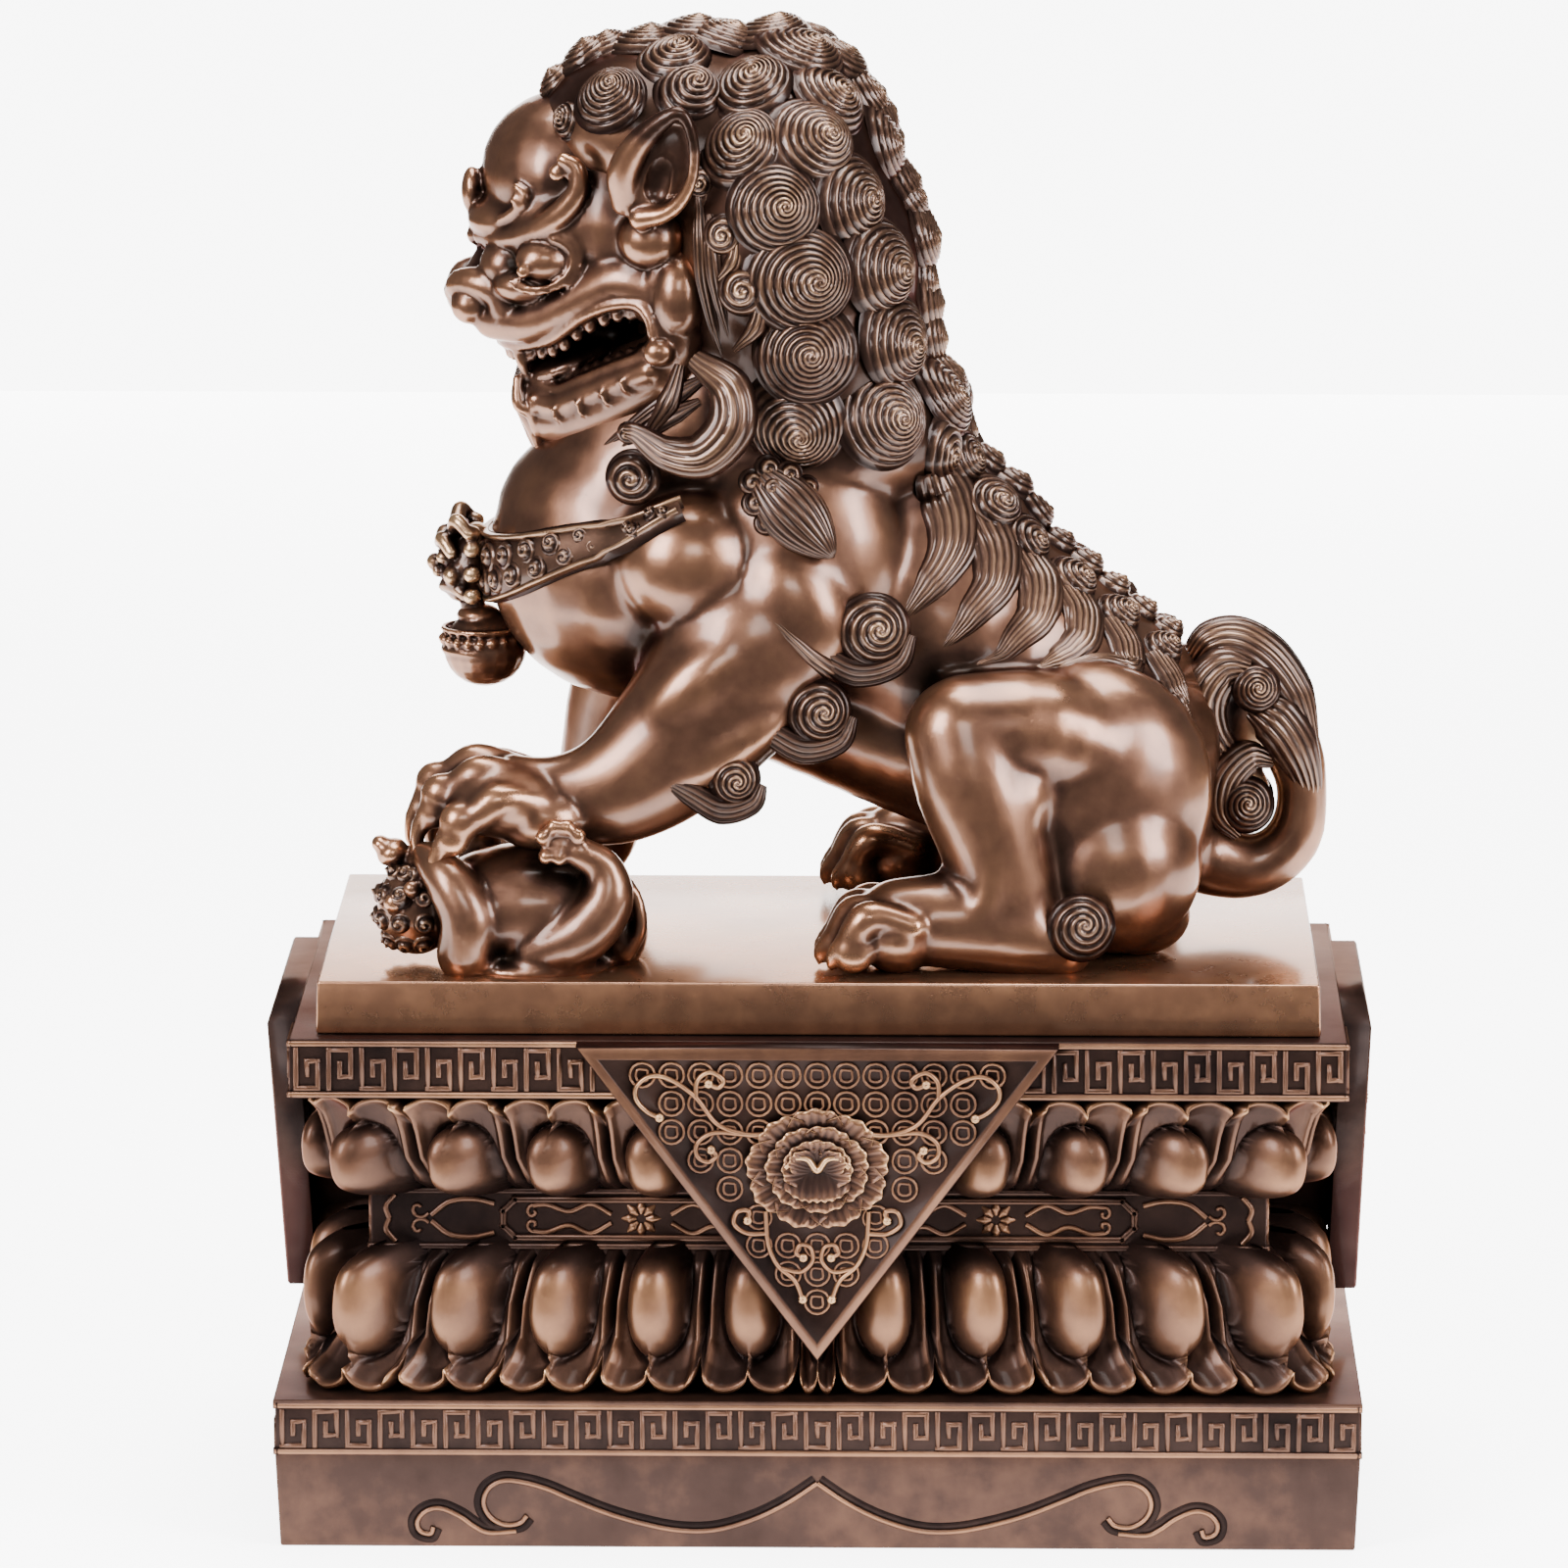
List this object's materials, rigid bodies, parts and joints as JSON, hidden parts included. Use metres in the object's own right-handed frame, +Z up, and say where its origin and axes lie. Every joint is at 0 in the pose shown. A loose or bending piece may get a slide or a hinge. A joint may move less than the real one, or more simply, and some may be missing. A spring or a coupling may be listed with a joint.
{
  "type": "guardian lion statue",
  "caption": "Bronze guardian lioness with her paw on a cub, curled mane and bell collar, on a lotus pedestal with hanging cloth drapes.",
  "frame": {"origin": "middle of the pedestal's underside", "axes": "+Z up, -X the way the lioness faces, -Y her left flank, the side with the cub"},
  "size_m": [0.37, 0.2156, 0.501],
  "materials": {
    "polished_bronze": "glossy brown patina, rubbed redder on the high spots",
    "patinated_bronze": "dark brown patina in the recesses, satin"
  },
  "bodies": {
    "root": {"guardian_lion": "polished_bronze", "lotus_pedestal": "patinated_bronze"}
  },
  "joints": []
}
